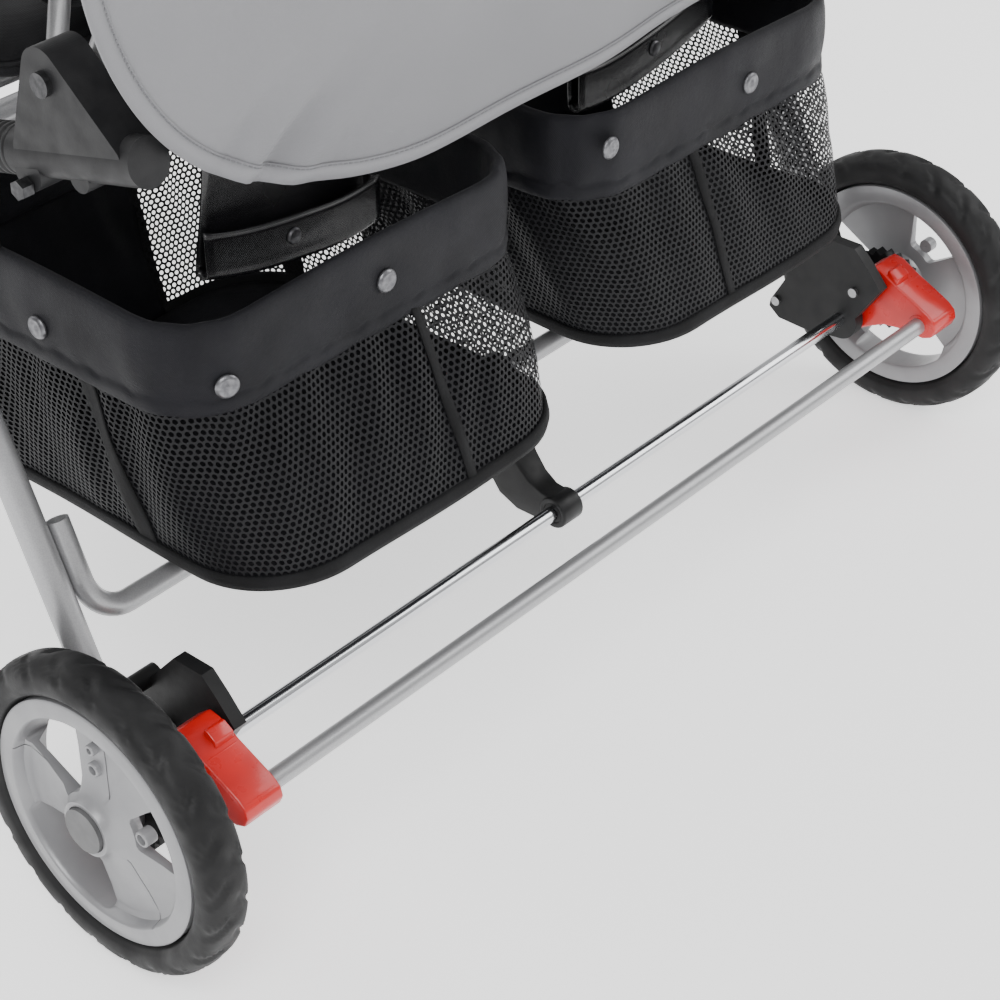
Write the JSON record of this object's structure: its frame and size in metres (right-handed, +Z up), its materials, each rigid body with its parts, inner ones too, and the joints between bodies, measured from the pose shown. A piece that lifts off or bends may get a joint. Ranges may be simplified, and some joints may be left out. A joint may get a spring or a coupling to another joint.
{
  "type": "twin stroller",
  "caption": "Side-by-side twin pushchair: folding tube frame, reclining seats, net baskets, canopy, foot brake and swivelling twin front casters.",
  "frame": {"origin": "on the ground, in the middle of the stroller's footprint", "axes": "+Z up, +X to the stroller's left, -Y the direction of travel"},
  "size_m": [0.812, 0.882, 1.034],
  "materials": {
    "silver_tube": "silver satin",
    "zinc": "zinc plated",
    "chrome_axle": "polished",
    "grey_plastic": "moulded satin",
    "snap_metal": "gunmetal",
    "black_plastic": "moulded",
    "grip_foam": "foam",
    "tyre": "matt",
    "rim": "silver satin",
    "brake_red": "glossy",
    "grey_fabric": "woven",
    "black_mesh": "woven band and net",
    "black_fabric": "woven",
    "webbing": "webbing"
  },
  "bodies": {
    "chassis": {"side_rail_left": "silver_tube", "side_rail_right": "silver_tube", "footrest_bar": "silver_tube", "seat_front_tube": "silver_tube", "seat_cross_tubes": "silver_tube", "fold_bracket_left": "grey_plastic", "fold_bracket_right": "grey_plastic", "frame_bolts": "zinc", "caster_sockets": "black_plastic", "seat_pad_left": "black_fabric", "seat_pad_right": "black_fabric", "calf_rest_left": "black_fabric", "calf_rest_right": "black_fabric", "side_panels": "black_fabric", "basket_left": "black_mesh", "basket_right": "black_mesh", "basket_snaps": "snap_metal", "seat_straps": "black_fabric"},
    "rear_frame": {"rear_leg_left": "silver_tube", "rear_leg_right": "silver_tube", "rear_cross_tube": "silver_tube", "rear_axle": "chrome_axle", "axle_bracket_left": "black_plastic", "axle_bracket_right": "black_plastic", "bracket_screws": "zinc", "centre_support": "black_plastic"},
    "brake": {"brake_lever_left": "brake_red", "brake_lever_right": "brake_red", "brake_bar": "silver_tube"},
    "rear_wheel_left": {"rear_tyre_left": "tyre", "rear_rim_left": "rim", "hub_cap_left": "grey_plastic"},
    "rear_wheel_right": {"rear_tyre_right": "tyre", "rear_rim_right": "rim", "hub_cap_right": "grey_plastic"},
    "caster_left": {"caster_fork_left": "black_plastic", "front_axle_left": "zinc"},
    "caster_right": {"caster_fork_right": "black_plastic", "front_axle_right": "zinc"},
    "handle_frame": {"handle_tube": "silver_tube", "handle_grip": "grip_foam", "rear_drape": "grey_fabric", "canopy_hubs": "black_plastic"},
    "canopy": {"canopy_bow": "grey_plastic", "canopy_fabric": "grey_fabric"},
    "backrest_left": {"back_frame_left": "silver_tube", "back_pad_left": "black_fabric", "harness_left": "webbing"},
    "backrest_right": {"back_frame_right": "silver_tube", "back_pad_right": "black_fabric", "harness_right": "webbing"},
    "front_wheel_left_outer": {"front_tyre_left_outer": "tyre", "front_rim_left_outer": "rim"},
    "front_wheel_left_inner": {"front_tyre_left_inner": "tyre", "front_rim_left_inner": "rim"},
    "front_wheel_right_outer": {"front_tyre_right_outer": "tyre", "front_rim_right_outer": "rim"},
    "front_wheel_right_inner": {"front_tyre_right_inner": "tyre", "front_rim_right_inner": "rim"}
  },
  "joints": [
    {"name": "main_fold", "type": "hinge", "parent": "chassis", "child": "rear_frame", "pos_m": [0, 0.00199, 0.433], "axis": [-1, 0, 0], "range_deg": [0, 65]},
    {"name": "handle_fold", "type": "hinge", "parent": "chassis", "child": "handle_frame", "pos_m": [0, 0.12999, 0.507], "axis": [-1, 0, 0], "range_deg": [0, 104], "deforming": ["rear_drape"]},
    {"name": "canopy_fold", "type": "hinge", "parent": "handle_frame", "child": "canopy", "pos_m": [0, 0.24499, 0.70619], "axis": [-1, 0, 0], "range_deg": [0, 76], "deforming": ["canopy_fabric"]},
    {"name": "backrest_left_recline", "type": "hinge", "parent": "chassis", "child": "backrest_left", "pos_m": [0.14325, 0.02399, 0.43849], "axis": [-1, 0, 0], "range_deg": [0, 20]},
    {"name": "backrest_right_recline", "type": "hinge", "parent": "chassis", "child": "backrest_right", "pos_m": [-0.14325, 0.02399, 0.43849], "axis": [-1, 0, 0], "range_deg": [0, 20]},
    {"name": "brake_press", "type": "hinge", "parent": "rear_frame", "child": "brake", "pos_m": [0, 0.17399, 0.1], "axis": [-1, 0, 0], "range_deg": [0, 20]},
    {"name": "rear_wheel_left_spin", "type": "hinge", "parent": "rear_frame", "child": "rear_wheel_left", "pos_m": [0.386, 0.17399, 0.1], "axis": [1, 0, 0], "continuous": true},
    {"name": "rear_wheel_right_spin", "type": "hinge", "parent": "rear_frame", "child": "rear_wheel_right", "pos_m": [-0.386, 0.17399, 0.1], "axis": [1, 0, 0], "continuous": true},
    {"name": "caster_left_swivel", "type": "hinge", "parent": "chassis", "child": "caster_left", "pos_m": [0.323, -0.40101, 0.156], "axis": [0, 0, 1], "continuous": true},
    {"name": "front_wheel_left_outer_spin", "type": "hinge", "parent": "caster_left", "child": "front_wheel_left_outer", "pos_m": [0.348, -0.36601, 0.075], "axis": [1, 0, 0], "continuous": true},
    {"name": "front_wheel_left_inner_spin", "type": "hinge", "parent": "caster_left", "child": "front_wheel_left_inner", "pos_m": [0.298, -0.36601, 0.075], "axis": [1, 0, 0], "continuous": true},
    {"name": "caster_right_swivel", "type": "hinge", "parent": "chassis", "child": "caster_right", "pos_m": [-0.323, -0.40101, 0.156], "axis": [0, 0, 1], "continuous": true},
    {"name": "front_wheel_right_outer_spin", "type": "hinge", "parent": "caster_right", "child": "front_wheel_right_outer", "pos_m": [-0.348, -0.36601, 0.075], "axis": [1, 0, 0], "continuous": true},
    {"name": "front_wheel_right_inner_spin", "type": "hinge", "parent": "caster_right", "child": "front_wheel_right_inner", "pos_m": [-0.298, -0.36601, 0.075], "axis": [1, 0, 0], "continuous": true}
  ],
  "couplings": [
    {"joint": "handle_fold", "follows": "main_fold", "ratio": 1.6}
  ]
}
